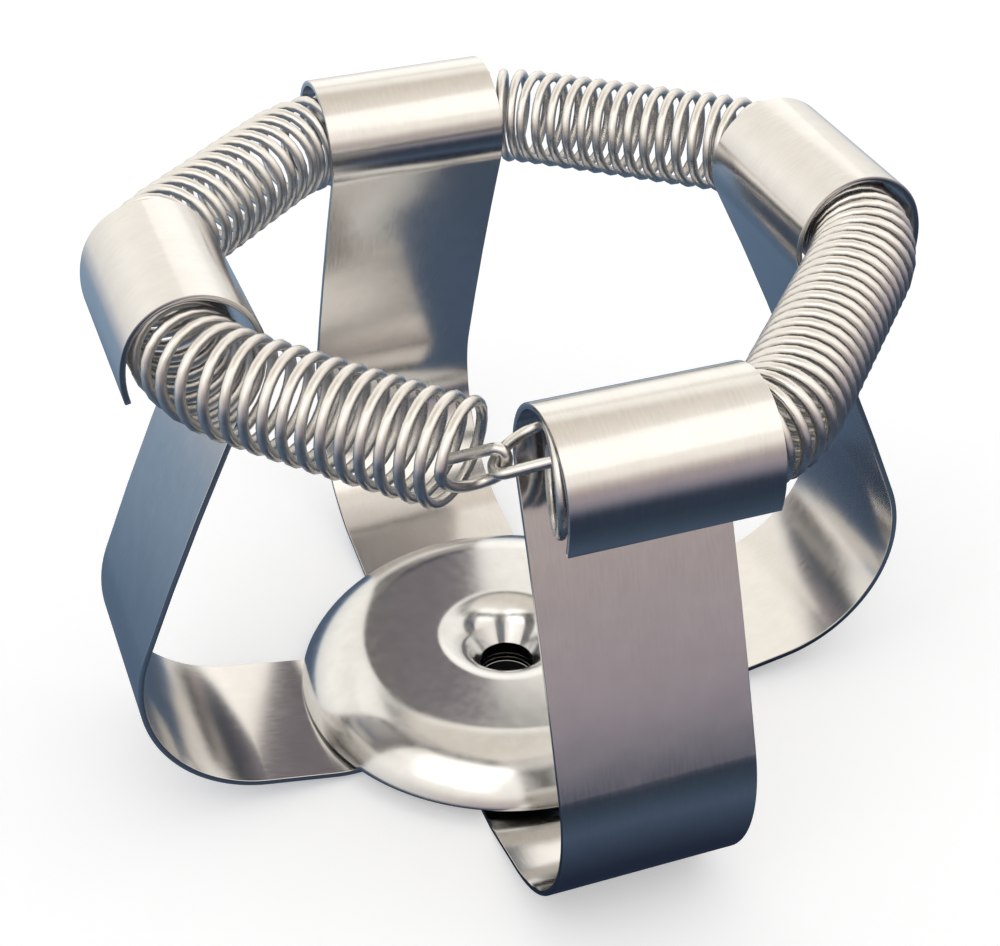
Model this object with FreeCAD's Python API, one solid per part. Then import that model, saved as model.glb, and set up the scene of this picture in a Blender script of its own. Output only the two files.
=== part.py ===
"""Shaker flask clamp: a spring clamp that holds a conical flask on a shaker platform.

Two spring-steel strips cross under a dished disc. Each strip is one folded sheet: flat under
the disc, rising a little, turned up in a wide bend, leaning inwards as an arm, and rolled
outwards over the top into an open curl. One long coil spring runs round through the four
curls, and its two end hooks interlock just outside the front curl. A screw through the hole
in the middle holds the clamp down, and presses the disc on the two strips.

Frame: the origin is the centre of the clamp on the surface that it stands on, +Z is up, the
lower strip runs along Y, the upper strip along X, and the front is -Y. Lengths are in
millimetres and angles in degrees.
"""
import FreeCAD, Part
import math
import os

Vec = FreeCAD.Vector

# Strips. Radii are those of the middle of the sheet.
STRIP_WIDTH = 19.0
STRIP_SHEET = 0.6
FLAT_HALF = 20.0            # half of the flat stretch under the disc
RISE_ANGLE = 10.5           # slope of the strip from the flat to the wide bend
RISE_RADIUS = 12.0          # soft bend between the flat and the slope
SLOPE_LOWER = 6.3           # straight part of the slope, lower and upper strip
SLOPE_UPPER = 7.1
BEND_RADIUS = 14.2          # wide bend at the foot of an arm
LEAN_LOWER = 19.3           # how far an arm leans inwards where it leaves the bend
LEAN_UPPER = 21.8
ARM_BOW = 4.9               # it leans this much more where it enters the curl
ARM_LOWER = 30.4            # straight distance over the bowed arm
ARM_UPPER = 31.7
CURL_RADIUS = 6.2
CURL_TURN = 189.0           # the curl rolls outwards over the top by this much
LIP_RADIUS = 9.4            # below it the sheet goes on as a more open lip
LIP_TURN = 31.0
LOWER = (0.0, SLOPE_LOWER, LEAN_LOWER, ARM_LOWER)
UPPER = (STRIP_SHEET, SLOPE_UPPER, LEAN_UPPER, ARM_UPPER)

# Disc, a pressed sheet, and the screw hole through all three pieces
HOLE_RADIUS = 2.9
DISC_RADIUS = 22.3
DISC_SHEET = 0.8
SHOULDER_RADIUS = 6.6       # round shoulder from the flat top down to the rim
SHOULDER_TURN = 74.0
DIMPLE_RADIUS = 3.0         # rounding from the top of the disc down into the dimple
DIMPLE_SLOPE = 62.0         # slope of the dimple's wall
RIM_LIFT = 0.05             # the rim stands this far above the upper strip
DIMPLE_CHORDS = 2           # the disc's rounds are a few chords each, so its facets stay few
SHOULDER_CHORDS = 3

# Coil spring, wound right-handed
WIRE = 0.95                 # wire diameter
COIL_RADIUS = 4.55          # from the middle of a coil to the middle of its wire
OUTWARD_IN_CURL = 0.5       # in a curl the spring lies this far outside the curl's centre
TURN_BEYOND_MOUTH = 1.6     # its path turns this far outside the mouth of a curl
TURN_RADIUS = 12.5
PITCH_FRONT_LEFT = 1.85     # distance between coils in each quarter, from curl to curl
PITCH_LEFT_BACK = 2.25
PITCH_BACK_RIGHT = 1.8
PITCH_RIGHT_FRONT = 1.5
START_OUTSIDE_MOUTH = 6.4   # first coil, outside the front curl's left mouth
END_INSIDE_MOUTH = 1.3      # last coil, inside the front curl
START_LIFT = 1.2            # the first coil is pulled this far up by the hooks
LIFT_LENGTH = 28.0          # length in which the lift fades
COIL_SEGMENTS = 7           # straight lengths of wire in one coil
WIRE_SIDES = 4

# End hooks. A phase is the angle round the coil from its outer side towards its top.
START_PHASE = 20.0          # where the wire leaves the first coil, and the last one
END_PHASE = 120.0
MEET_OUTSIDE_MOUTH = 3.3    # where the hooks interlock, from the front curl's left mouth
HOOK_HALF_WIDTH = 1.5       # from a hook's centre line to the middle of its wire
HOOK_PLAY = 0.2             # gap between the two hooked wires
HOOK_LEAD = 2.0             # pull of the curve from the coil to the hook's leg
HOOK_LEG = 1.0              # straight leg between that curve and the bow
HOOK_RETURN = 4.5           # free end of the wire, behind the bow
HOOK_TILT = 15.0            # the second hook's plane is turned this far up from level
HOOK_SEGMENTS = 8           # straight lengths of wire in the lead and in the hook's bow


class Profile:
    """The middle line of a sheet as a chain of tangent runs and bends in the XZ plane."""

    def __init__(self, x, z, angle, sheet):
        self.x, self.z, self.angle, self.half = x, z, math.radians(angle), sheet / 2
        self.above, self.below, self.centre = [], [], None
        self.start = self.face_points()

    def face_points(self):
        """The points of the two faces of the sheet beside the present point."""
        dx, dz = -math.sin(self.angle) * self.half, math.cos(self.angle) * self.half
        return Vec(self.x + dx, 0, self.z + dz), Vec(self.x - dx, 0, self.z - dz)

    def run(self, length):
        """Add a straight run."""
        old = self.face_points()
        self.x += length * math.cos(self.angle)
        self.z += length * math.sin(self.angle)
        new = self.face_points()
        self.above.append(Part.LineSegment(old[0], new[0]).toShape())
        self.below.append(Part.LineSegment(old[1], new[1]).toShape())

    def bend(self, radius, turn, chords=0):
        """Add a tangent arc, or its chords. A positive turn is to the left of the heading."""
        side = math.copysign(1, turn)
        begin = self.angle
        cx = self.x - side * radius * math.sin(begin)
        cz = self.z + side * radius * math.cos(begin)
        stations = [self.face_points()]
        parts = chords or 2
        for k in range(1, parts + 1):
            self.angle = begin + math.radians(turn) * k / parts
            self.x = cx + side * radius * math.sin(self.angle)
            self.z = cz - side * radius * math.cos(self.angle)
            stations.append(self.face_points())
        for edges, points in zip((self.above, self.below), zip(*stations)):
            if chords:
                edges += [Part.LineSegment(a, b).toShape() for a, b in zip(points, points[1:])]
            else:
                edges.append(Part.Arc(*points).toShape())
        self.centre = (cx, cz)

    def face(self):
        """The closed section of the sheet."""
        end = self.face_points()
        first = Part.LineSegment(self.start[1], self.start[0]).toShape()
        last = Part.LineSegment(end[0], end[1]).toShape()
        return Part.Face(Part.Wire([first] + self.above + [last] + self.below[::-1]))


def strip_profile(base, slope, lean, arm):
    """Half a strip from the middle of the clamp to the lip, and the centre of its curl."""
    p = Profile(0, base + STRIP_SHEET / 2, 0, STRIP_SHEET)
    p.run(FLAT_HALF)
    p.bend(RISE_RADIUS, RISE_ANGLE)
    p.run(slope)
    p.bend(BEND_RADIUS, 90 + lean - RISE_ANGLE)
    p.bend(arm / (2 * math.sin(math.radians(ARM_BOW) / 2)), ARM_BOW)
    p.bend(CURL_RADIUS, -CURL_TURN)
    curl = p.centre
    p.bend(LIP_RADIUS, -LIP_TURN)
    return p, curl


def strip(base, slope, lean, arm):
    """A whole folded strip along X with its screw hole."""
    half = strip_profile(base, slope, lean, arm)[0].face().extrude(Vec(0, STRIP_WIDTH, 0))
    half.translate(Vec(0, -STRIP_WIDTH / 2, 0))
    other = half.copy()
    other.rotate(Vec(0, 0, 0), Vec(0, 0, 1), 180)
    hole = Part.makeCylinder(HOLE_RADIUS, 3 * STRIP_SHEET, Vec(0, 0, base - STRIP_SHEET))
    return half.fuse(other).removeSplitter().cut(hole).Solids[0]


def upper_strip_top(x):
    """Height of the upper strip's top face at a distance from the middle."""
    inner = RISE_RADIUS - STRIP_SHEET / 2
    slope = math.radians(RISE_ANGLE)
    arc_end = FLAT_HALF + inner * math.sin(slope)
    if x <= FLAT_HALF:
        return 2 * STRIP_SHEET
    if x <= arc_end:
        return 2 * STRIP_SHEET + inner - math.sqrt(inner ** 2 - (x - FLAT_HALF) ** 2)
    return 2 * STRIP_SHEET + inner * (1 - math.cos(slope)) + (x - arc_end) * math.tan(slope)


def base_disc():
    """The disc: a pressed sheet, dimpled down to the strips, its rim over the upper strip."""
    steep, wall = math.radians(SHOULDER_TURN), math.radians(DIMPLE_SLOPE)
    half = DISC_SHEET / 2
    rim_x = DISC_RADIUS - half * math.sin(steep)
    rim_z = upper_strip_top(rim_x - half * math.sin(steep)) + RIM_LIFT + half * math.cos(steep)
    top_z = rim_z + SHOULDER_RADIUS * (1 - math.cos(steep))
    top_x = rim_x - SHOULDER_RADIUS * math.sin(steep)
    # The wall starts inside the hole, so that the hole cuts it square, and its lower face
    # meets the upper strip at the edge of the hole.
    start_x = HOLE_RADIUS - DISC_SHEET
    reach = HOLE_RADIUS - start_x - half * math.sin(wall)
    start_z = 2 * STRIP_SHEET + half * math.cos(wall) - reach * math.tan(wall)
    wall_z = top_z - DIMPLE_RADIUS * (1 - math.cos(wall))
    p = Profile(start_x, start_z, DIMPLE_SLOPE, DISC_SHEET)
    p.run((wall_z - start_z) / math.sin(wall))
    p.bend(DIMPLE_RADIUS, -DIMPLE_SLOPE, DIMPLE_CHORDS)
    p.run(top_x - p.x)
    p.bend(SHOULDER_RADIUS, -SHOULDER_TURN, SHOULDER_CHORDS)
    disc = p.face().revolve(Vec(0, 0, 0), Vec(0, 0, 1), 360)
    hole = Part.makeCylinder(HOLE_RADIUS, 2 * top_z, Vec(0, 0, -top_z / 2))
    return disc.cut(hole).Solids[0]


class RingPath:
    """The spring's centre line: a closed ring of straight stretches and tangent arcs.

    It starts in the middle of the front curl and runs left, so clockwise seen from above.
    """

    def __init__(self, curls):
        corners = []
        for (out, along), (radius, height) in curls:
            middle = out * (radius + OUTWARD_IN_CURL) + Vec(0, 0, height)
            half = along * (STRIP_WIDTH / 2 + TURN_BEYOND_MOUTH)
            corners += [middle - half, middle + half]
        corners = corners[1:] + corners[:1]
        self.pieces, self.marks = [], [0.0]
        here = (corners[-1] + corners[0]) / 2
        for i, corner in enumerate(corners):
            after = corners[(i + 1) % len(corners)]
            into, away = (corner - here).normalize(), (after - corner).normalize()
            turn = into.getAngle(away)
            trim = TURN_RADIUS * math.tan(turn / 2)
            inward = (away - into).normalize()
            centre = corner + inward * (TURN_RADIUS / math.cos(turn / 2))
            straight = (corner - here).Length - trim
            self.pieces.append((straight, here, into, None))
            start = corner - into * trim
            self.pieces.append((TURN_RADIUS * turn, centre, into, (start - centre).normalize()))
            here = corner + away * trim
            if i % 2:
                middle = (corner + after) / 2
                self.marks.append(self.length() + (middle - here).Length)
        self.pieces.append((self.marks[-1] - self.length(), here, away, None))

    def length(self):
        """Length of all the pieces so far."""
        return sum(piece[0] for piece in self.pieces)

    def at(self, s):
        """Point and heading at a distance along the ring."""
        s %= self.marks[-1]
        for length, origin, heading, spoke in self.pieces:
            if s <= length:
                break
            s -= length
        if spoke is None:
            return origin + heading * s, heading
        a = s / TURN_RADIUS
        point = origin + (spoke * math.cos(a) + heading * math.sin(a)) * TURN_RADIUS
        return point, heading * math.cos(a) - spoke * math.sin(a)

    def frame(self, s, start):
        """Middle of the coil at a distance, and its outward and upward direction."""
        point, heading = self.at(s)
        outward = Vec(0, 0, 1).cross(heading).normalize()
        up = heading.cross(outward)
        fading = max(0, 1 - (s - start) / LIFT_LENGTH)
        return point + up * (START_LIFT * fading ** 2), outward, up


def coil_points(ring, start, end):
    """Points of the wire's middle line from the first coil to the last."""
    pitches = (PITCH_FRONT_LEFT, PITCH_LEFT_BACK, PITCH_BACK_RIGHT, PITCH_RIGHT_FRONT,
               PITCH_RIGHT_FRONT)
    stops = [start] + ring.marks[1:] + [end]
    turns = [(b - a) / pitch for a, b, pitch in zip(stops, stops[1:], pitches)]
    total = round(sum(turns)) + (END_PHASE - START_PHASE) / 360
    steps = round(total * COIL_SEGMENTS)
    points, done, quarter = [], 0.0, 0
    for step in range(steps + 1):
        turn = sum(turns) * step / steps
        while turn - done > turns[quarter] and quarter < len(turns) - 1:
            done += turns[quarter]
            quarter += 1
        s = stops[quarter] + (turn - done) * pitches[quarter]
        centre, outward, up = ring.frame(min(s, end), start)
        angle = math.radians(START_PHASE) + 2 * math.pi * total * step / steps
        points.append(centre + (outward * math.cos(angle) + up * math.sin(angle)) * COIL_RADIUS)
    return points


def hook_points(coil, phase, sense, meet, leg_side):
    """Points of an end hook, from beside the end coil to the free end.

    The wire leaves the coil at the phase, in the sense of the winding or against it. It
    curves in to its leg on leg_side of the centre line, and turns back round the meeting
    point.
    """
    centre, outward, up = coil
    angle = math.radians(phase)
    tail = centre + (outward * math.cos(angle) + up * math.sin(angle)) * COIL_RADIUS
    leaving = (up * math.cos(angle) - outward * math.sin(angle)) * sense
    along = (meet - centre).normalize()
    bow = meet + along * ((WIRE + HOOK_PLAY) / 2 - HOOK_HALF_WIDTH)
    leg = bow + leg_side * HOOK_HALF_WIDTH - along * HOOK_LEG
    first_pull, last_pull = tail + leaving * HOOK_LEAD, leg - along * HOOK_LEAD
    points = []
    for i in range(1, HOOK_SEGMENTS + 1):
        t = i / HOOK_SEGMENTS
        points.append(tail * (1 - t) ** 3 + first_pull * (3 * t * (1 - t) ** 2)
                      + last_pull * (3 * t * t * (1 - t)) + leg * t ** 3)
    for i in range(HOOK_SEGMENTS + 1):
        a = math.pi * i / HOOK_SEGMENTS
        points.append(bow + (leg_side * math.cos(a) + along * math.sin(a)) * HOOK_HALF_WIDTH)
    points.append(bow - leg_side * HOOK_HALF_WIDTH - along * HOOK_RETURN)
    return points


def wire_solid(points):
    """A many-sided wire along straight lengths, mitred where they meet."""
    first = (points[1] - points[0]).normalize()
    across = first.cross(Vec(0, 0, 1)).normalize()
    other = first.cross(across)
    ring = []
    for side in range(WIRE_SIDES):
        a = 2 * math.pi * side / WIRE_SIDES
        ring.append(points[0] + (across * math.cos(a) + other * math.sin(a)) * (WIRE / 2))
    faces = [Part.Face(Part.makePolygon(ring + ring[:1]))]
    for i in range(1, len(points)):
        heading = (points[i] - points[i - 1]).normalize()
        normal = heading
        if i < len(points) - 1:
            normal = (heading + (points[i + 1] - points[i]).normalize()).normalize()
        rate = heading.dot(normal)
        following = [c + heading * ((points[i] - c).dot(normal) / rate) for c in ring]
        for k in range(WIRE_SIDES):
            m = (k + 1) % WIRE_SIDES
            faces.append(Part.Face(Part.makePolygon(
                [ring[k], ring[m], following[m], following[k], ring[k]])))
        ring = following
    faces.append(Part.Face(Part.makePolygon(ring + ring[:1])))
    shell = Part.Shell(faces)
    shell.sewShape()
    solid = Part.Solid(shell)
    if solid.Volume < 0:
        solid.reverse()
    return solid


def coil_spring():
    """The spring with its two interlocked end hooks, one continuous wire."""
    lower, upper = strip_profile(*LOWER)[1], strip_profile(*UPPER)[1]
    front, left = (Vec(0, -1, 0), Vec(-1, 0, 0)), (Vec(-1, 0, 0), Vec(0, 1, 0))
    back, right = (Vec(0, 1, 0), Vec(1, 0, 0)), (Vec(1, 0, 0), Vec(0, -1, 0))
    ring = RingPath([(front, lower), (left, upper), (back, lower), (right, upper)])
    mouth = STRIP_WIDTH / 2
    start = mouth + START_OUTSIDE_MOUTH
    end = ring.marks[-1] + mouth - END_INSIDE_MOUTH
    meet, outward, up = ring.frame(mouth + MEET_OUTSIDE_MOUTH, start)
    tilt = math.radians(HOOK_TILT)
    first = hook_points(ring.frame(start, start), START_PHASE, -1, meet, up * -1)
    last = hook_points(ring.frame(end, start), END_PHASE, 1, meet,
                       up * math.sin(tilt) - outward * math.cos(tilt))
    return wire_solid(first[::-1] + coil_points(ring, start, end) + last)


def main():
    """Make every piece and write it to its own file."""
    lower = strip(*LOWER)
    lower.rotate(Vec(0, 0, 0), Vec(0, 0, 1), 90)
    pieces = {
        "lower_strip": lower,
        "upper_strip": strip(*UPPER),
        "base_disc": base_disc(),
        "coil_spring": coil_spring(),
    }
    os.makedirs("parts", exist_ok=True)
    for name, shape in pieces.items():
        shape.exportStep("parts/" + name + ".step")


main()
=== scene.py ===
"""Shaker flask clamp, dressed and lit for its portrait.

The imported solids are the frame. Each of the four is stood for by a finer piece in the same
place: two folded strips of spring steel, a pressed disc and one long coil spring. Sizes are in
millimetres times MM, so in metres, in the frame's own axes: +Z up, the lower strip along Y, the
upper strip along X and the front at -Y.
"""

import logging
import math
from collections.abc import Callable
from dataclasses import dataclass, field
from enum import Enum

import bmesh
import bpy
from mathutils import Matrix, Vector


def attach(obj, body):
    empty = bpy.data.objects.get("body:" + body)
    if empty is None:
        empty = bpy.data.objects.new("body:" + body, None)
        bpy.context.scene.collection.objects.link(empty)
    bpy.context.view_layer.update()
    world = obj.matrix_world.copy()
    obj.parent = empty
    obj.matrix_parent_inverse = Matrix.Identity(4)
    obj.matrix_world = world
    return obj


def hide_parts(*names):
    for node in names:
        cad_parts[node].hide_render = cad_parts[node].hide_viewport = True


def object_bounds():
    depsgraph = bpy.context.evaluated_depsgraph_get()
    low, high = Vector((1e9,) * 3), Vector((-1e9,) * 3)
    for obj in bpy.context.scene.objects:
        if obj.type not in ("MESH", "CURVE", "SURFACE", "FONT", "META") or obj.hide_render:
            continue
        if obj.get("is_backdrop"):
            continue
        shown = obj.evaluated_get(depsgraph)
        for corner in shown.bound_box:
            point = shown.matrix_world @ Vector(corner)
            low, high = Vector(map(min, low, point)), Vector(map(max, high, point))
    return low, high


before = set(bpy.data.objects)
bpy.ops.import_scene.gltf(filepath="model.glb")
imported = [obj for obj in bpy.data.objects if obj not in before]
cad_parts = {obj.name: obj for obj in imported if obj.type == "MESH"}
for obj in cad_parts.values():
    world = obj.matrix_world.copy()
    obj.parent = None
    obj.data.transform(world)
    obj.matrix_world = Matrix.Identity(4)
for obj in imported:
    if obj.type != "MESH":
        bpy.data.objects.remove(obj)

log = logging.getLogger("flask_clamp")

MM = 0.001
UP = Vector((0.0, 0.0, 1.0))
STRIP_WIDTH = 19.0 * MM
STRIP_SHEET = 0.6 * MM
HOLE_RADIUS = 2.9 * MM


class Bench:
    """The hand tools of the modelling bench, each one a short wrapper round an operator."""

    @staticmethod
    def hold(piece: bpy.types.Object) -> None:
        """Make a piece the only selected one, and the active one."""
        bpy.ops.object.select_all(action="DESELECT")
        piece.select_set(True)
        bpy.context.view_layer.objects.active = piece

    @staticmethod
    def pick_edges(piece: bpy.types.Object, wanted: Callable[[Vector], bool]) -> None:
        """Select the edges of a piece in edit mode that have both ends where they are wanted.

        Args:
            piece: The piece, already in edit mode.
            wanted: Test of a vertex's place.
        """
        mesh = bmesh.from_edit_mesh(piece.data)
        mesh.select_mode = {"EDGE"}
        for edge in mesh.edges:
            edge.select = all(wanted(vertex.co) for vertex in edge.verts)
        mesh.select_flush_mode()
        bmesh.update_edit_mesh(piece.data)

    @staticmethod
    def finish_with(piece: bpy.types.Object, kind: str, **settings: object) -> None:
        """Add a modifier to a piece, set it and apply it.

        Args:
            piece: The piece to finish.
            kind: The modifier's type.
            **settings: Values for the modifier's properties.
        """
        Bench.hold(piece)
        bpy.ops.object.modifier_add(type=kind)
        modifier = piece.modifiers[-1]
        for name, value in settings.items():
            setattr(modifier, name, value)
        bpy.ops.object.modifier_apply(modifier=modifier.name)

    @staticmethod
    def drill(piece: bpy.types.Object, radius: float) -> None:
        """Cut a round hole down the Z axis through a piece."""
        bpy.ops.object.select_all(action="DESELECT")
        bpy.ops.mesh.primitive_cylinder_add(vertices=96, radius=radius, depth=60 * MM)
        cutter = bpy.context.object
        Bench.finish_with(piece, "BOOLEAN", operation="DIFFERENCE", object=cutter, solver="EXACT")
        bpy.data.objects.remove(cutter)

    @staticmethod
    def outward(piece: bpy.types.Object) -> None:
        """Merge doubled points and turn every face outwards."""
        Bench.hold(piece)
        bpy.ops.object.mode_set(mode="EDIT")
        bpy.ops.mesh.select_all(action="SELECT")
        bpy.ops.mesh.remove_doubles(threshold=1e-7)
        bpy.ops.mesh.normals_make_consistent(inside=False)
        bpy.ops.object.mode_set(mode="OBJECT")


@dataclass
class SheetLine:
    """The middle line of a sheet in its XZ section, followed as a chain of runs and bends.

    Attributes:
        x: Present distance from the Z axis.
        z: Present height.
        heading: Present direction, in radians from +X towards +Z.
        travelled: Length of sheet so far.
        stations: Every point passed, with the length travelled to it.
    """

    x: float
    z: float
    heading: float = 0.0
    travelled: float = 0.0
    stations: list[tuple[float, float, float]] = field(default_factory=list)

    def __post_init__(self) -> None:
        """Note the first station."""
        self.stations.append((self.x, self.z, self.travelled))

    def run(self, length: float) -> Vector:
        """Go straight on, and return the step taken."""
        step = Vector((math.cos(self.heading), 0.0, math.sin(self.heading))) * length
        self.x, self.z, self.travelled = self.x + step.x, self.z + step.z, self.travelled + length
        self.stations.append((self.x, self.z, self.travelled))
        return step

    def bend(self, radius: float, turn: float, steps: int) -> Vector:
        """Follow a tangent arc and return its centre.

        Args:
            radius: Radius of the middle line.
            turn: Angle in degrees, positive to the left of the heading.
            steps: Number of chords that stand for the arc.

        Returns:
            The centre of the arc, in the XZ plane.
        """
        side = math.copysign(1.0, turn)
        begin, start = self.heading, self.travelled
        centre = Vector((self.x - side * radius * math.sin(begin), 0.0,
                         self.z + side * radius * math.cos(begin)))
        for step in range(1, steps + 1):
            self.heading = begin + math.radians(turn) * step / steps
            self.x = centre.x + side * radius * math.sin(self.heading)
            self.z = centre.z - side * radius * math.cos(self.heading)
            self.travelled = start + radius * math.radians(abs(turn)) * step / steps
            self.stations.append((self.x, self.z, self.travelled))
        return centre


class Grain(Enum):
    """Which way the fine marks of a steel surface run."""

    ROLLED = "along the sheet"
    PRESSED = "round the disc"
    DRAWN = "along the wire"


@dataclass(frozen=True)
class Steel:
    """A bare stainless steel finish.

    Attributes:
        name: Name of the material.
        slot: The record's slot that the finish belongs to; not used.
        grain: Which way its fine marks run.
        tint: Colour of the metal.
        roughness: Mean roughness.
        waviness: Depth of the slow waves in the surface.
        marks: Depth of the fine marks.
    """

    name: str
    slot: str
    grain: Grain
    tint: tuple[float, float, float]
    roughness: float
    waviness: float
    marks: float

    def coordinates(self, nodes: "NodeDesk") -> bpy.types.NodeSocket:
        """Coordinates scaled for the fine marks, stretched along the sheet only for rolled steel,
        as a vector socket.
        """
        source = nodes.add("ShaderNodeTexCoord")
        stretch = nodes.add("ShaderNodeMapping")
        if self.grain is Grain.ROLLED:
            nodes.link(source.outputs["UV"], stretch.inputs["Vector"])
            stretch.inputs["Scale"].default_value = (500.0, 4200.0, 1.0)
        elif self.grain is Grain.PRESSED:
            nodes.link(source.outputs["Object"], stretch.inputs["Vector"])
            stretch.inputs["Scale"].default_value = (900.0, 900.0, 900.0)
        else:
            nodes.link(source.outputs["Object"], stretch.inputs["Vector"])
            stretch.inputs["Scale"].default_value = (2400.0, 2400.0, 2400.0)
        return stretch.outputs["Vector"]

    def material(self) -> bpy.types.Material:
        """Build the finish as a node material.

        Returns:
            The new material.
        """
        made = bpy.data.materials.new(self.name)
        made.use_nodes = True
        nodes = NodeDesk(made.node_tree)
        shader = nodes.tree.nodes["Principled BSDF"]
        shader.inputs["Metallic"].default_value = 1.0
        place = nodes.add("ShaderNodeTexCoord").outputs["Object"]
        along = self.coordinates(nodes)

        fine = nodes.noise(along, 1.0, 3.0)
        mottle = nodes.noise(place, 420.0, 5.0)
        smear = nodes.noise(place, 55.0, 2.0)
        waves = nodes.noise(place, 130.0, 1.0)

        dark = tuple(0.95 * c for c in self.tint) + (1.0,)
        light = tuple(min(1.0, 1.05 * c) for c in self.tint) + (1.0,)
        blend = nodes.mix_factor(fine, mottle, 0.55)
        nodes.link(nodes.ramp(blend, (0.30, dark), (0.70, light)), shader.inputs["Base Color"])
        gloss = nodes.mix_factor(fine, smear, 0.5)
        low, high = 0.78 * self.roughness, 1.25 * self.roughness
        nodes.link(nodes.remap(gloss, 0.30, 0.70, low, high), shader.inputs["Roughness"])

        slow = nodes.bump(waves, self.waviness, None)
        nodes.link(nodes.bump(fine, self.marks, slow), shader.inputs["Normal"])
        return made


class NodeDesk:
    """Short ways to add and join the nodes of one tree."""

    def __init__(self, tree: bpy.types.NodeTree) -> None:
        """Work on a tree."""
        self.tree = tree

    def add(self, kind: str) -> bpy.types.Node:
        """Add a node of a type."""
        return self.tree.nodes.new(kind)

    def link(self, source: bpy.types.NodeSocket, target: bpy.types.NodeSocket) -> None:
        """Join an output to an input."""
        self.tree.links.new(source, target)

    def noise(self, place: bpy.types.NodeSocket, scale: float,
              detail: float) -> bpy.types.NodeSocket:
        """A noise pattern from 0 to 1, as a value socket."""
        node = self.add("ShaderNodeTexNoise")
        node.inputs["Scale"].default_value = scale
        node.inputs["Detail"].default_value = detail
        self.link(place, node.inputs["Vector"])
        return node.outputs["Fac"]

    def mix_factor(self, first: bpy.types.NodeSocket, second: bpy.types.NodeSocket,
                   share: float) -> bpy.types.NodeSocket:
        """Two values mixed, with the second one's share."""
        node = self.add("ShaderNodeMix")
        node.inputs["Factor"].default_value = share
        self.link(first, node.inputs["A"])
        self.link(second, node.inputs["B"])
        return node.outputs["Result"]

    def mix_colour(self, share: bpy.types.NodeSocket, first: bpy.types.NodeSocket,
                   second: bpy.types.NodeSocket) -> bpy.types.NodeSocket:
        """Two colours mixed, with the second one's share as a socket."""
        node = self.add("ShaderNodeMixRGB")
        self.link(share, node.inputs["Fac"])
        self.link(first, node.inputs["Color1"])
        self.link(second, node.inputs["Color2"])
        return node.outputs["Color"]

    def remap(self, value: bpy.types.NodeSocket, low: float, high: float,
              new_low: float, new_high: float) -> bpy.types.NodeSocket:
        """A value carried from one range to another, and held inside it."""
        node = self.add("ShaderNodeMapRange")
        for name, number in (("From Min", low), ("From Max", high),
                             ("To Min", new_low), ("To Max", new_high)):
            node.inputs[name].default_value = number
        self.link(value, node.inputs["Value"])
        return node.outputs["Result"]

    def ramp(self, value: bpy.types.NodeSocket,
             *stops: tuple[float, tuple[float, ...]]) -> bpy.types.NodeSocket:
        """A colour ramp through the given stops, as a colour socket."""
        node = self.add("ShaderNodeValToRGB")
        elements = node.color_ramp.elements
        while len(elements) < len(stops):
            elements.new(0.5)
        for element, (position, colour) in zip(elements, stops):
            element.position, element.color = position, colour
        self.link(value, node.inputs["Fac"])
        return node.outputs["Color"]

    def bump(self, height: bpy.types.NodeSocket, depth: float,
             below: bpy.types.NodeSocket | None) -> bpy.types.NodeSocket:
        """A bump of a depth in metres, laid over another one, as a normal socket."""
        node = self.add("ShaderNodeBump")
        node.inputs["Distance"].default_value = depth
        self.link(height, node.inputs["Height"])
        if below is not None:
            self.link(below, node.inputs["Normal"])
        return node.outputs["Normal"]


STRIP_STEEL = Steel("satin_strip_steel", "strip_steel", Grain.ROLLED,
                    (0.620, 0.608, 0.596), 0.16, 0.04 * MM, 0.0006 * MM)
DISC_STEEL = Steel("polished_disc_steel", "disc_steel", Grain.PRESSED,
                   (0.625, 0.628, 0.630), 0.18, 0.02 * MM, 0.0002 * MM)
WIRE_STEEL = Steel("bright_spring_wire", "spring_steel", Grain.DRAWN,
                   (0.650, 0.636, 0.618), 0.30, 0.0, 0.0002 * MM)


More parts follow.
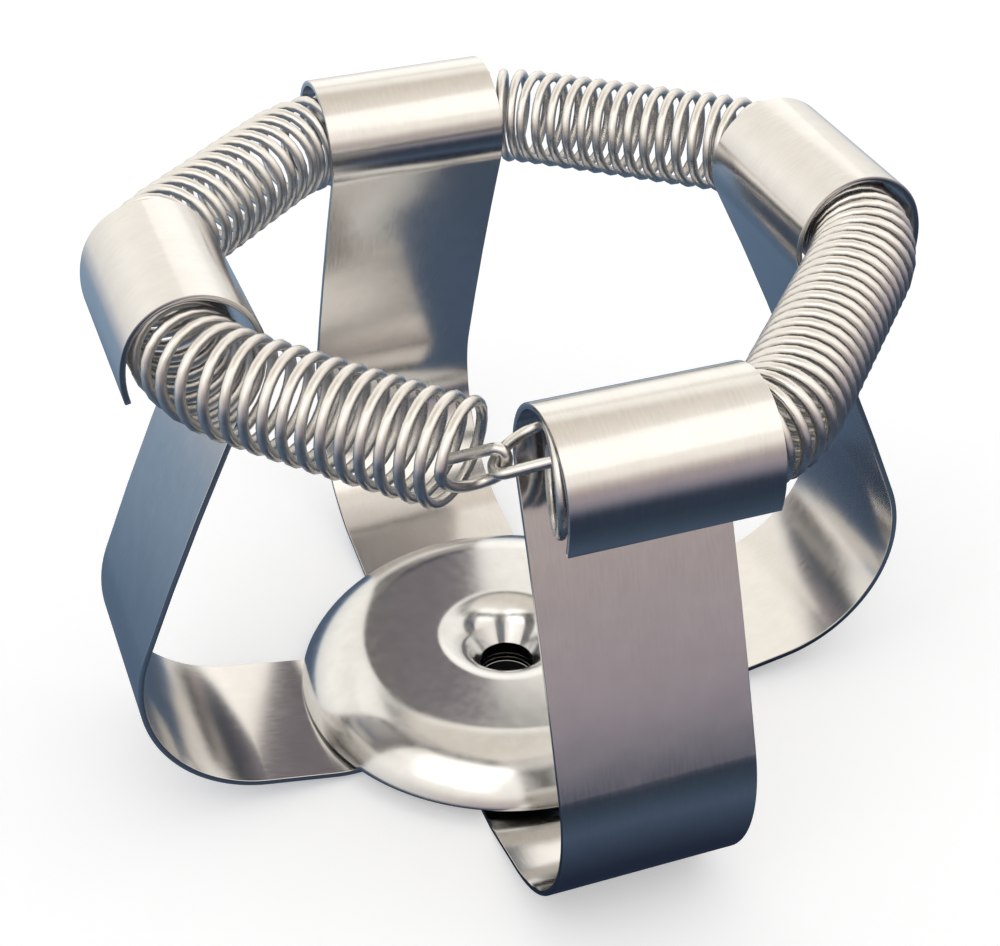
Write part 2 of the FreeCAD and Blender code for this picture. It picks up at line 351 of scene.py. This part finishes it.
@dataclass
class FoldedStrip:
    """One folded strip of spring steel, from the lip of one curl to the lip of the other.

    Attributes:
        node: The solid that it stands for.
        base: Height of its underside under the disc.
        slope: Straight part of the rise from the middle to the wide bend.
        lean: How far an arm leans inwards where it leaves the wide bend, in degrees.
        arm: Straight distance over the bowed arm.
        along_y: Whether the strip runs along Y instead of X.
    """

    node: str
    base: float
    slope: float
    lean: float
    arm: float
    along_y: bool

    flat_half: float = 20.0 * MM
    rise_angle: float = 10.5
    rise_radius: float = 12.0 * MM
    bend_radius: float = 14.2 * MM
    arm_bow: float = 4.9
    curl_radius: float = 6.2 * MM
    curl_turn: float = 189.0
    lip_radius: float = 9.4 * MM
    lip_turn: float = 31.0
    edge_round: float = 0.12 * MM
    chord_angle: float = 3.0

    def bends(self) -> list[tuple[float, float]]:
        """The chain of the half strip after its flat: runs have no turn, bends have a radius.

        Returns:
            Pairs of a length or radius and a turn in degrees.
        """
        bow_radius = self.arm / (2 * math.sin(math.radians(self.arm_bow) / 2))
        return [(self.rise_radius, self.rise_angle), (self.slope, 0.0),
                (self.bend_radius, 90 + self.lean - self.rise_angle),
                (bow_radius, self.arm_bow), (self.curl_radius, -self.curl_turn),
                (self.lip_radius, -self.lip_turn)]

    def curl_centre(self) -> tuple[float, float]:
        """Distance from the Z axis and height of the centre of the curl."""
        line = SheetLine(self.flat_half, self.base + STRIP_SHEET / 2)
        for size, turn in self.bends()[:5]:
            centre = line.bend(size, turn, 1) if turn else line.run(size)
        return centre.x, centre.z

    def fold(self) -> bpy.types.Object:
        """Fold half of the strip from a flat sheet, mirror it, and give it its thickness.

        Returns:
            The whole strip.
        """
        line = SheetLine(self.flat_half, self.base + STRIP_SHEET / 2, travelled=self.flat_half)
        bpy.ops.object.select_all(action="DESELECT")
        bpy.ops.mesh.primitive_plane_add(size=STRIP_WIDTH, location=(STRIP_WIDTH / 2, 0, line.z))
        strip = bpy.context.object
        bpy.ops.object.transform_apply(location=True)
        bpy.ops.object.mode_set(mode="EDIT")
        Bench.pick_edges(strip, lambda place: place.x > STRIP_WIDTH / 2)
        bpy.ops.transform.translate(value=(self.flat_half - STRIP_WIDTH, 0, 0))
        for size, turn in self.bends():
            if turn:
                steps = max(4, round(abs(turn) / self.chord_angle))
                centre = line.bend(size, turn, steps)
                bpy.ops.mesh.spin(steps=steps, angle=math.radians(abs(turn)), center=centre,
                                  axis=(0, math.copysign(1, turn), 0))
            else:
                step = line.run(size)
                bpy.ops.mesh.extrude_edges_move(TRANSFORM_OT_translate={"value": step})
        bpy.ops.object.mode_set(mode="OBJECT")
        Bench.finish_with(strip, "MIRROR", merge_threshold=1e-6)
        Bench.outward(strip)
        self.lay_grain(strip, line)
        Bench.finish_with(strip, "SOLIDIFY", thickness=STRIP_SHEET, offset=0.0,
                          use_even_offset=True)
        Bench.drill(strip, HOLE_RADIUS)
        Bench.finish_with(strip, "BEVEL", width=self.edge_round, segments=2,
                          limit_method="ANGLE", angle_limit=math.radians(50))
        return strip

    def lay_grain(self, strip: bpy.types.Object, line: SheetLine) -> None:
        """Give the sheet a UV map in metres, along its length and across its width.

        Args:
            strip: The sheet while it still has no thickness.
            line: The line that it was folded along.
        """
        mesh = strip.data
        grain = mesh.uv_layers.new(name="grain") if not mesh.uv_layers else mesh.uv_layers[0]
        stations = [(0.0, self.base + STRIP_SHEET / 2, 0.0)] + line.stations
        for loop in mesh.loops:
            place = mesh.vertices[loop.vertex_index].co
            x, z, travelled = min(stations, key=lambda s: (s[0] - abs(place.x)) ** 2
                                  + (s[1] - place.z) ** 2)
            grain.data[loop.index].uv = (math.copysign(travelled, place.x), place.y)

    def build(self) -> bpy.types.Object:
        """Make the strip, turn it to its place, and dress it.

        Returns:
            The finished piece.
        """
        strip = self.fold()
        Bench.hold(strip)
        bpy.ops.object.shade_smooth_by_angle(angle=math.radians(30))
        Bench.finish_with(strip, "WEIGHTED_NORMAL", keep_sharp=True)
        if self.along_y:
            strip.rotation_euler.z = math.radians(90)
            bpy.ops.object.transform_apply(rotation=True)
        Dressing(strip, self.node + "_sheet", self.node, STRIP_STEEL).put_on()
        return strip


@dataclass
class PressedDisc:
    """The dished disc that presses on the two strips.

    Attributes:
        foot: Height of the strips' top face, on which its dimple stands.
        over: The upper strip, over which its rim stands.
        radius: Radius of the rim.
        sheet: Thickness of the sheet.
        shoulder_radius: Radius of the round shoulder, from the flat top down to the rim.
        shoulder_turn: Angle of the shoulder in degrees.
        dimple_radius: Radius from the flat top down into the dimple.
        dimple_slope: Slope of the dimple's wall in degrees.
        rim_lift: Gap between the rim and the upper strip.
        around: Number of faces round the disc.
    """

    foot: float
    over: FoldedStrip
    radius: float = 22.3 * MM
    sheet: float = 0.8 * MM
    shoulder_radius: float = 7.6 * MM
    shoulder_turn: float = 66.0
    dimple_radius: float = 4.2 * MM
    dimple_slope: float = 56.0
    rim_lift: float = 0.05 * MM
    around: int = 192

    def section(self) -> SheetLine:
        """The middle line of the disc, from inside the hole to the rim."""
        steep, wall = math.radians(self.shoulder_turn), math.radians(self.dimple_slope)
        half = self.sheet / 2
        rim_x = self.radius - half * math.sin(steep)
        rim_z = self.rim_bottom() + half * math.cos(steep)
        top_z = rim_z + self.shoulder_radius * (1 - math.cos(steep))
        top_x = rim_x - self.shoulder_radius * math.sin(steep)
        start_x = HOLE_RADIUS - self.sheet
        reach = HOLE_RADIUS - start_x - half * math.sin(wall)
        start_z = self.foot + half * math.cos(wall) - reach * math.tan(wall)
        wall_z = top_z - self.dimple_radius * (1 - math.cos(wall))
        line = SheetLine(start_x, start_z, wall)
        line.run((wall_z - start_z) / math.sin(wall))
        line.bend(self.dimple_radius, -self.dimple_slope, 14)
        line.run(top_x - line.x)
        line.bend(self.shoulder_radius, -self.shoulder_turn, 20)
        return line

    def build(self) -> bpy.types.Object:
        """Raise the disc ring by ring from a circle, thicken and drill it, and dress it.

        Returns:
            The finished piece.
        """
        line = self.section()
        x, z, _ = line.stations[0]
        bpy.ops.object.select_all(action="DESELECT")
        bpy.ops.mesh.primitive_circle_add(vertices=self.around, radius=x, location=(0, 0, z))
        disc = bpy.context.object
        bpy.ops.object.transform_apply(location=True)
        bpy.ops.object.mode_set(mode="EDIT")
        bpy.ops.mesh.select_all(action="SELECT")
        for new_x, new_z, _ in line.stations[1:]:
            bpy.ops.mesh.extrude_edges_move(
                TRANSFORM_OT_translate={"value": (0, 0, new_z - z)})
            bpy.ops.transform.resize(value=(new_x / x, new_x / x, 1),
                                     center_override=(0, 0, new_z))
            x, z = new_x, new_z
        bpy.ops.object.mode_set(mode="OBJECT")
        Bench.outward(disc)
        Bench.finish_with(disc, "SOLIDIFY", thickness=self.sheet, offset=0.0,
                          use_even_offset=True)
        Bench.drill(disc, HOLE_RADIUS)
        Bench.finish_with(disc, "BEVEL", width=0.15 * MM, segments=3,
                          limit_method="ANGLE", angle_limit=math.radians(50))
        Bench.outward(disc)
        Bench.hold(disc)
        bpy.ops.object.shade_smooth_by_angle(angle=math.radians(30))
        Bench.finish_with(disc, "WEIGHTED_NORMAL", keep_sharp=True)
        Dressing(disc, "base_disc_pressing", "base_disc", DISC_STEEL).put_on()
        return disc

    def rim_bottom(self) -> float:
        """Height of the lower edge of the rim, just clear of the upper strip's soft bend."""
        inner = self.over.rise_radius - STRIP_SHEET / 2
        x = self.radius - self.sheet * math.sin(math.radians(self.shoulder_turn))
        rise = inner - math.sqrt(inner ** 2 - (x - self.over.flat_half) ** 2)
        return self.foot + rise + self.rim_lift


@dataclass
class SpringRoute:
    """The spring's centre line: straight stretches and tangent arcs through the four curls.

    It starts in the middle of the front curl and runs left, so clockwise seen from above.

    Attributes:
        curls: For each curl, its outward direction, the route's direction in it, and the
            distance from the Z axis and height of its centre.
        start: Distance of the first coil along the route.
        outward_in_curl: How far outside the centre of a curl the route lies.
        mouth_turn: Where it turns, from the middle of a curl.
        turn_radius: Radius of its turns.
        lift: How far up the hooks pull the first coil.
        lift_length: Length in which that lift fades.
        pieces: Length, origin, heading and spoke of each stretch; an arc has a spoke.
        marks: Distance to the middle of each curl.
    """

    curls: list[tuple[Vector, Vector, tuple[float, float]]]
    start: float = STRIP_WIDTH / 2 + 6.4 * MM
    outward_in_curl: float = 0.5 * MM
    mouth_turn: float = STRIP_WIDTH / 2 + 1.6 * MM
    turn_radius: float = 12.5 * MM
    lift: float = 1.2 * MM
    lift_length: float = 28.0 * MM
    pieces: list[tuple[float, Vector, Vector, Vector | None]] = field(default_factory=list)
    marks: list[float] = field(default_factory=lambda: [0.0])

    def __post_init__(self) -> None:
        """Work out the stretches, the arcs and the distance to the middle of each curl."""
        corners = []
        for out, along, (radius, height) in self.curls:
            middle = out * (radius + self.outward_in_curl) + UP * height
            corners += [middle - along * self.mouth_turn, middle + along * self.mouth_turn]
        corners = corners[1:] + corners[:1]
        here = (corners[-1] + corners[0]) / 2
        for index, corner in enumerate(corners):
            after = corners[(index + 1) % len(corners)]
            into, away = (corner - here).normalized(), (after - corner).normalized()
            turn = into.angle(away)
            trim = self.turn_radius * math.tan(turn / 2)
            centre = corner + (away - into).normalized() * (self.turn_radius / math.cos(turn / 2))
            self.pieces.append(((corner - here).length - trim, here, into, None))
            start = corner - into * trim
            self.pieces.append((self.turn_radius * turn, centre, into,
                                (start - centre).normalized()))
            here = corner + away * trim
            if index % 2:
                self.marks.append(self.length() + ((corner + after) / 2 - here).length)
        self.pieces.append((self.marks[-1] - self.length(), here, away, None))

    def length(self) -> float:
        """Length of all the pieces so far."""
        return sum(piece[0] for piece in self.pieces)

    def frame_at(self, distance: float) -> tuple[Vector, Vector, Vector]:
        """Point, outward direction and upward direction at a distance along the route."""
        fading = max(0.0, 1 - (distance - self.start) / self.lift_length)
        distance %= self.marks[-1]
        for length, origin, heading, spoke in self.pieces:
            if distance <= length:
                break
            distance -= length
        if spoke is None:
            point = origin + heading * distance
        else:
            angle = distance / self.turn_radius
            point = origin + (spoke * math.cos(angle)
                              + heading * math.sin(angle)) * self.turn_radius
            heading = heading * math.cos(angle) - spoke * math.sin(angle)
        outward = UP.cross(heading).normalized()
        up = heading.cross(outward)
        return point + up * (self.lift * fading ** 2), outward, up


@dataclass
class CoilSpring:
    """The spring with its two interlocked end hooks, one continuous right-handed wire.

    A phase is the angle round a coil, in degrees from its outer side towards its top.

    Attributes:
        route: The line that its coils follow.
        wire: Diameter of the wire.
        coil_radius: Radius of the middle of the wire in a coil.
        pitches: Distance between coils in each quarter, from curl to curl.
        end_inside_mouth: The last coil's distance inside the front curl.
        start_phase: Phase where the wire leaves the first coil.
        end_phase: Phase where it leaves the last one.
        meet_outside_mouth: Where the hooks interlock, from the front curl's left mouth.
        hook_half_width: Distance from a hook's centre line to the middle of its wire.
        hook_play: Gap between the two hooked wires.
        hook_lead: Pull of the curve from the coil to the bow of the hook.
        hook_return: Length of the free end behind the bow.
        hook_tilt: How far the second hook's plane is turned up from level, in degrees.
        hook_slants: How far below the end coil's middle each hook's centre line points.
        hook_openings: Part of each bow, in degrees, that its lead cuts off.
        points_in_coil: Points of the wire in one coil.
        points_in_hook: Points of the wire in the lead and in the bow of a hook.
    """

    route: SpringRoute
    wire: float = 1.0 * MM
    coil_radius: float = 4.55 * MM
    pitches: tuple[float, ...] = (1.85 * MM, 2.25 * MM, 1.8 * MM, 1.5 * MM, 1.5 * MM)
    end_inside_mouth: float = 0.6 * MM
    start_phase: float = 20.0
    end_phase: float = 120.0
    meet_outside_mouth: float = 3.3 * MM
    hook_half_width: float = 1.5 * MM
    hook_play: float = 0.2 * MM
    hook_lead: float = 2.4 * MM
    hook_return: float = 4.5 * MM
    hook_tilt: float = 15.0
    hook_slants: tuple[float, float] = (1.5 * MM, -3.0 * MM)
    hook_openings: tuple[float, float] = (10.0, 85.0)
    points_in_coil: int = 24
    points_in_hook: int = 16

    def coils(self, end: float) -> list[Vector]:
        """Points of the wire's middle line from the first coil to the last.

        Args:
            end: Distance of the last coil along the route.

        Returns:
            The points in order.
        """
        stops = [self.route.start] + self.route.marks[1:] + [end]
        turns = [(b - a) / pitch for a, b, pitch in zip(stops, stops[1:], self.pitches)]
        total = round(sum(turns)) + (self.end_phase - self.start_phase) / 360
        steps = round(total * self.points_in_coil)
        points, done, quarter = [], 0.0, 0
        for step in range(steps + 1):
            turn = sum(turns) * step / steps
            while turn - done > turns[quarter] and quarter < len(turns) - 1:
                done += turns[quarter]
                quarter += 1
            distance = min(end, stops[quarter] + (turn - done) * self.pitches[quarter])
            angle = math.radians(self.start_phase) + math.tau * total * step / steps
            points.append(self.on_coil(self.route.frame_at(distance), angle))
        return points

    def on_coil(self, place: tuple[Vector, Vector, Vector], angle: float) -> Vector:
        """The point of a coil at an angle, in radians, from its outer side towards its top."""
        centre, outward, up = place
        return centre + (outward * math.cos(angle) + up * math.sin(angle)) * self.coil_radius

    def hook(self, distance: float, last: bool, leg_side: Vector) -> list[Vector]:
        """Points of an end hook, from beside the end coil to the free end.

        Args:
            distance: Distance of the end coil along the route.
            last: Whether it is the hook at the end of the winding.
            leg_side: The side of the centre line on which the wire comes in.

        Returns:
            The points in order.
        """
        place = centre, outward, up = self.route.frame_at(distance)
        angle = math.radians(self.end_phase if last else self.start_phase)
        tail = self.on_coil(place, angle)
        leaving = (up * math.cos(angle) - outward * math.sin(angle)) * (1 if last else -1)
        meet = self.route.frame_at(STRIP_WIDTH / 2 + self.meet_outside_mouth)[0]
        along = (meet - centre + up * self.hook_slants[last]).normalized()
        bow = meet + along * ((self.wire + self.hook_play) / 2 - self.hook_half_width)
        opening = math.radians(self.hook_openings[last])

        def on_bow(turn: float) -> Vector:
            """The point of the bow at a turn from its leg side, in radians."""
            return bow + (leg_side * math.cos(turn)
                          + along * math.sin(turn)) * self.hook_half_width

        leg = on_bow(opening)
        coming = leg_side * math.sin(opening) - along * math.cos(opening)
        first_pull, last_pull = tail + leaving * self.hook_lead, leg + coming * self.hook_lead
        points = []
        for index in range(1, self.points_in_hook):
            t = index / self.points_in_hook
            points.append(tail * (1 - t) ** 3 + first_pull * (3 * t * (1 - t) ** 2)
                          + last_pull * (3 * t * t * (1 - t)) + leg * t ** 3)
        for index in range(self.points_in_hook + 1):
            points.append(on_bow(opening + (math.pi - opening) * index / self.points_in_hook))
        points.append(bow - leg_side * self.hook_half_width - along * self.hook_return)
        return points

    def build(self) -> bpy.types.Object:
        """Lead the wire along its points, give it its thickness, and dress it.

        Returns:
            The finished piece.
        """
        mouth = STRIP_WIDTH / 2
        end = self.route.marks[-1] + mouth - self.end_inside_mouth
        _, outward, up = self.route.frame_at(mouth + self.meet_outside_mouth)
        tilt = math.radians(self.hook_tilt)
        first = self.hook(self.route.start, False, -up)
        last = self.hook(end, True, up * math.sin(tilt) - outward * math.cos(tilt))
        points = first[::-1] + self.coils(end) + last

        line = bpy.data.curves.new("spring_wire", "CURVE")
        line.dimensions = "3D"
        line.bevel_depth = self.wire / 2
        line.bevel_resolution = 3
        line.use_fill_caps = True
        spline = line.splines.new("POLY")
        spline.points.add(len(points) - 1)
        for target, point in zip(spline.points, points):
            target.co = (*point, 1.0)
        spring = bpy.data.objects.new("spring_wire", line)
        bpy.context.collection.objects.link(spring)
        Bench.hold(spring)
        bpy.ops.object.convert(target="MESH")
        spring = bpy.context.object
        Bench.outward(spring)
        Bench.hold(spring)
        bpy.ops.object.shade_smooth_by_angle(angle=math.radians(50))
        Dressing(spring, "coil_spring_wire", "coil_spring", WIRE_STEEL).put_on()
        return spring


@dataclass(frozen=True)
class Dressing:
    """What makes a mesh a finished piece of the clamp.

    Attributes:
        piece: The mesh.
        name: Its name in the scene.
        node: The solid that it stands for.
        finish: Its steel.
    """

    piece: bpy.types.Object
    name: str
    node: str
    finish: Steel

    def put_on(self) -> None:
        """Name the piece, give it its finish, and tie it to the frame."""
        self.piece.name = self.piece.data.name = self.name
        self.piece.data.materials.clear()
        self.piece.data.materials.append(
            bpy.data.materials.get(self.finish.name) or self.finish.material())
        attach(self.piece, "root")
        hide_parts(self.node)
        log.info("%s stands for %s, %d faces", self.name, self.node,
                 len(self.piece.data.polygons))


Ramp = tuple[tuple[float, tuple[float, ...]], ...]


@dataclass
class Studio:
    """A pale floor, a disc of painted shade under the hole, soft lamps, and glowing cards that
    only the metal shows, which paint its reflections.

    Attributes:
        floor_size: Side of the floor.
        card_radius: Radius of the cards round the clamp.
        card_height: Height of the upright card.
        back_left: The way from the front colours of a card to its back colours.
    """

    floor_size: float = 6.0
    card_radius: float = 1.2
    card_height: float = 1.1
    back_left: tuple[float, float, float] = (-0.4, 0.92, 0.0)

    def world(self) -> None:
        """White where the camera, gloss and glass look, and a plain level for the rest."""
        world = bpy.context.scene.world or bpy.data.worlds.new("studio")
        bpy.context.scene.world = world
        world.use_nodes = True
        nodes = NodeDesk(world.node_tree)
        back = world.node_tree.nodes["Background"]
        seen = self.seen_rays(nodes)
        nodes.link(nodes.remap(seen, 0.0, 1.0, 0.68, 1.0), back.inputs["Strength"])
        back.inputs["Color"].default_value = (1.0, 1.0, 1.0, 1.0)

    @staticmethod
    def seen_rays(nodes: NodeDesk) -> bpy.types.NodeSocket:
        """One for camera, glossy and transmission rays, and zero for others."""
        rays = nodes.add("ShaderNodeLightPath")
        gloss = nodes.add("ShaderNodeMath")
        gloss.operation = "MAXIMUM"
        nodes.link(rays.outputs["Is Camera Ray"], gloss.inputs[0])
        nodes.link(rays.outputs["Is Glossy Ray"], gloss.inputs[1])
        glass = nodes.add("ShaderNodeMath")
        glass.operation = "MAXIMUM"
        nodes.link(gloss.outputs[0], glass.inputs[0])
        nodes.link(rays.outputs["Is Transmission Ray"], glass.inputs[1])
        return glass.outputs[0]

    def floor(self) -> None:
        """A plain white floor that keeps the clamp's shadow."""
        bpy.ops.object.select_all(action="DESELECT")
        bpy.ops.mesh.primitive_plane_add(size=self.floor_size, location=(0, 0, 0))
        floor = bpy.context.object
        floor.name = "floor"
        paint = bpy.data.materials.new("floor_white")
        paint.use_nodes = True
        nodes = NodeDesk(paint.node_tree)
        shader = paint.node_tree.nodes["Principled BSDF"]
        shader.inputs["Base Color"].default_value = (0.86, 0.86, 0.86, 1.0)
        shader.inputs["Roughness"].default_value = 0.9
        shader.inputs["Emission Color"].default_value = (1.0, 1.0, 1.0, 1.0)
        lift = nodes.remap(self.seen_rays(nodes), 0.0, 1.0, 0.0, 0.35)
        nodes.link(lift, shader.inputs["Emission Strength"])
        floor.data.materials.append(paint)
        floor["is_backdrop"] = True

    def paint_hole_shade(self) -> None:
        """A near-black disc on the floor under the clamp's hole, painted shade that makes the
        hole read dark.
        """
        bpy.ops.object.select_all(action="DESELECT")
        bpy.ops.mesh.primitive_circle_add(vertices=64, radius=HOLE_RADIUS, fill_type="NGON",
                                          location=(0, 0, 0.02 * MM))
        hole = bpy.context.object
        hole.name = "painted_hole_shade"
        dark = bpy.data.materials.new("painted_hole_shade_dark")
        dark.use_nodes = True
        shader = dark.node_tree.nodes["Principled BSDF"]
        # Near black: painted shade seen down the clamp's hole.
        shader.inputs["Base Color"].default_value = (0.006, 0.006, 0.007, 1.0)
        shader.inputs["Roughness"].default_value = 0.8
        hole.data.materials.append(dark)
        hole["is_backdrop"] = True

    def lamp(self, name: str, azimuth: float, height: float, distance: float, size: float,
             radiance: float, colour: tuple[float, float, float]) -> None:
        """Add a soft square lamp that faces the clamp.

        Args:
            name: Name of the lamp.
            azimuth: Its direction in degrees, from the back towards the right.
            height: Its height in degrees above the horizon.
            distance: Its distance from the clamp.
            size: Its side.
            radiance: How bright it looks.
            colour: Its colour.
        """
        data = bpy.data.lights.new(name, "AREA")
        data.shape, data.size = "SQUARE", size
        data.energy = radiance * math.pi * size * size
        data.color = colour
        lamp = bpy.data.objects.new(name, data)
        a, e = math.radians(azimuth), math.radians(height)
        aim = Vector((math.sin(a) * math.cos(e), math.cos(a) * math.cos(e), math.sin(e)))
        lamp.location = aim * distance + UP * 30 * MM
        lamp.rotation_euler = aim.to_track_quat("Z", "Y").to_euler()
        bpy.context.collection.objects.link(lamp)

    def card(self, card: bpy.types.Object, name: str, front: "Ramp", back: "Ramp",
             upright: bool, reach: float) -> None:
        """Paint a glowing card from its middle or its foot outwards, seen in reflections only:
        its colours are painted reflections.

        Args:
            card: The mesh of the card.
            name: Its name.
            front: Colours of its front half.
            back: Colours of its back half.
            upright: Whether the colours follow its height instead of the distance.
            reach: The height or distance at the end of the colours.
        """
        card.name = name
        paint = bpy.data.materials.new(name + "_colour")
        paint.use_nodes = True
        nodes = NodeDesk(paint.node_tree)
        place = nodes.add("ShaderNodeTexCoord").outputs["Object"]
        level = nodes.add("ShaderNodeVectorMath")
        level.operation = "MULTIPLY"
        level.inputs[1].default_value = (1.0, 1.0, 0.0)
        nodes.link(place, level.inputs[0])
        size = nodes.add("ShaderNodeVectorMath")
        size.operation = "LENGTH"
        nodes.link(level.outputs[0], size.inputs[0])
        heading = nodes.add("ShaderNodeVectorMath")
        heading.operation = "NORMALIZE"
        nodes.link(level.outputs[0], heading.inputs[0])
        aside = nodes.add("ShaderNodeVectorMath")
        aside.operation = "DOT_PRODUCT"
        aside.inputs[1].default_value = self.back_left
        nodes.link(heading.outputs[0], aside.inputs[0])
        height = nodes.add("ShaderNodeSeparateXYZ")
        nodes.link(place, height.inputs[0])
        way = nodes.remap(height.outputs["Z"] if upright else size.outputs["Value"],
                          0.0, reach, 0.0, 1.0)
        share = nodes.remap(aside.outputs["Value"], -0.6, 0.5, 0.0, 1.0)
        # The card glows though it is no lamp, and only glossy rays see it: a painted reflection.
        glow = nodes.add("ShaderNodeEmission")
        nodes.link(nodes.mix_colour(share, nodes.ramp(way, *front), nodes.ramp(way, *back)),
                   glow.inputs["Color"])
        nodes.link(glow.outputs[0], paint.node_tree.nodes["Material Output"].inputs["Surface"])
        card.data.materials.append(paint)
        card.visible_camera = card.visible_diffuse = card.visible_shadow = False
        card.visible_transmission = card.visible_volume_scatter = False
        card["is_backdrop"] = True

    def cards(self) -> None:
        """Glowing cards that paint the metal's reflections: a blue-grey table card with black
        under the clamp for painted shade, a mauve and cream band round it, and a cream ceiling.
        """
        bpy.ops.object.select_all(action="DESELECT")
        bpy.ops.mesh.primitive_circle_add(vertices=96, radius=self.card_radius,
                                          fill_type="NGON", location=(0, 0, 0.05 * MM))
        # Black under the clamp is painted shade of the clamp in its own reflections; the
        # blue-grey and mauve beyond it are a painted table reflection.
        self.card(bpy.context.object, "painted_table_reflection",
                  ((0.0, (0.0, 0.0, 0.0, 1)), (0.009, (0.0, 0.0, 0.0, 1)),
                   (0.015, (0.02, 0.03, 0.05, 1)), (0.065, (0.019, 0.028, 0.054, 1)),
                   (0.10, (0.085, 0.125, 0.195, 1)), (0.135, (0.055, 0.083, 0.125, 1)),
                   (0.18, (0.038, 0.057, 0.092, 1)), (0.285, (0.036, 0.052, 0.085, 1)),
                   (0.385, (0.155, 0.168, 0.23, 1)), (0.50, (0.34, 0.31, 0.36, 1)),
                   (0.80, (0.46, 0.41, 0.46, 1)), (1.0, (0.48, 0.42, 0.46, 1))),
                  ((0.0, (0.0, 0.0, 0.0, 1)), (0.009, (0.0, 0.0, 0.0, 1)),
                   (0.015, (0.08, 0.12, 0.18, 1)), (0.06, (0.09, 0.13, 0.20, 1)),
                   (0.13, (0.13, 0.20, 0.30, 1)), (0.20, (0.26, 0.36, 0.49, 1)),
                   (0.27, (0.29, 0.41, 0.55, 1)), (0.34, (0.54, 0.57, 0.63, 1)),
                   (0.58, (0.82, 0.84, 0.87, 1)), (1.0, (1.05, 1.02, 0.97, 1))),
                  False, 0.6)
        bpy.ops.object.select_all(action="DESELECT")
        bpy.ops.mesh.primitive_cylinder_add(
            vertices=96, radius=self.card_radius, depth=self.card_height,
            end_fill_type="NOTHING", location=(0, 0, self.card_height / 2))
        bpy.ops.object.transform_apply(location=True)
        # Painted reflection of a mauve and cream surround, brighter than white where it paints
        # highlights.
        self.card(bpy.context.object, "painted_horizon_reflection",
                  ((0.0, (0.48, 0.42, 0.46, 1)), (0.15, (0.55, 0.47, 0.47, 1)),
                   (0.30, (0.82, 0.72, 0.66, 1)), (0.48, (1.35, 1.27, 1.16, 1)),
                   (1.0, (1.5, 1.42, 1.3, 1))),
                  ((0.0, (1.08, 1.04, 0.99, 1)), (0.15, (1.2, 1.16, 1.08, 1)),
                   (0.45, (1.4, 1.35, 1.25, 1)), (1.0, (1.25, 1.17, 1.06, 1))),
                  True, self.card_height)
        bpy.ops.object.select_all(action="DESELECT")
        bpy.ops.mesh.primitive_circle_add(vertices=96, radius=self.card_radius,
                                          fill_type="NGON", location=(0, 0, self.card_height))
        bpy.ops.object.transform_apply(location=True)
        # Painted reflection of a cream ceiling, brighter than white where it paints highlights.
        self.card(bpy.context.object, "painted_ceiling_reflection",
                  ((0.0, (1.05, 0.96, 0.83, 1)), (0.28, (1.18, 1.09, 0.97, 1)),
                   (0.48, (1.45, 1.38, 1.27, 1)), (1.0, (1.45, 1.38, 1.27, 1))),
                  ((0.0, (1.0, 0.90, 0.77, 1)), (0.52, (1.0, 0.91, 0.79, 1)),
                   (0.72, (1.4, 1.34, 1.22, 1)), (1.0, (1.5, 1.45, 1.34, 1))),
                  False, self.card_radius)

    def build(self) -> None:
        """Set up the whole studio."""
        self.world()
        self.floor()
        # A near-black disc under the hole: painted shade.
        self.paint_hole_shade()
        self.lamp("key_lamp", 140, 52, 1.0, 0.6, 0.35, (1.0, 0.98, 0.95))
        self.lamp("back_lamp", 20, 22, 1.1, 0.5, 0.25, (1.0, 0.99, 0.97))
        self.lamp("left_lamp", -130, 48, 1.1, 0.75, 0.8, (1.0, 0.99, 0.97))
        self.cards()
        log.info("studio is lit")


@dataclass(frozen=True)
class PortraitCamera:
    """The camera at the picture's own angle, for a frame 1000 wide and 946 high.

    Attributes:
        eye: Its place.
        aim: A point on its axis.
        roll: Its turn about that axis, in degrees.
        lens: Focal length in millimetres, for a sensor 36 mm wide.
        shift: Shift of the frame, as shares of its width.
    """

    eye: Vector = Vector((-57.33, -155.77, 143.73)) * MM
    aim: Vector = Vector((-0.99, 2.28, 27.57)) * MM
    roll: float = 0.27
    lens: float = 71.39
    shift: tuple[float, float] = (0.0100, -0.0104)

    def build(self) -> bpy.types.Object:
        """Set the camera up as the scene's own.

        Returns:
            The camera.
        """
        data = bpy.data.cameras.new("portrait")
        data.sensor_width, data.lens = 36.0, self.lens
        data.shift_x, data.shift_y = self.shift
        data.clip_start, data.clip_end = 0.01, 20.0
        camera = bpy.data.objects.new("portrait", data)
        turn = (self.aim - self.eye).to_track_quat("-Z", "Y").to_matrix().to_4x4()
        camera.matrix_world = (Matrix.Translation(self.eye) @ turn
                               @ Matrix.Rotation(math.radians(-self.roll), 4, "Z"))
        bpy.context.collection.objects.link(camera)
        bpy.context.scene.camera = camera
        return camera


def corners() -> list[list[float]]:
    """The lowest and highest corner of what is shown, as plain lists."""
    return [list(corner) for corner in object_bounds()]


def main() -> None:
    """Build the clamp, its studio and its camera."""
    logging.basicConfig(level=logging.INFO, format="%(name)s: %(message)s")
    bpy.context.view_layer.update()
    bpy.context.scene.view_settings.view_transform = "Standard"
    PortraitCamera().build()
    Studio().build()

    lower = FoldedStrip("lower_strip", 0.0, 6.3 * MM, 19.3, 30.4 * MM, True)
    upper = FoldedStrip("upper_strip", STRIP_SHEET, 7.1 * MM, 21.8, 31.7 * MM, False)
    lower.build()
    upper.build()
    PressedDisc(2 * STRIP_SHEET, upper).build()
    x, y = Vector((1.0, 0.0, 0.0)), Vector((0.0, 1.0, 0.0))
    route = SpringRoute([(-y, -x, lower.curl_centre()), (-x, y, upper.curl_centre()),
                         (y, x, lower.curl_centre()), (x, -y, upper.curl_centre())])
    CoilSpring(route).build()


if __name__ == "__main__":
    main()
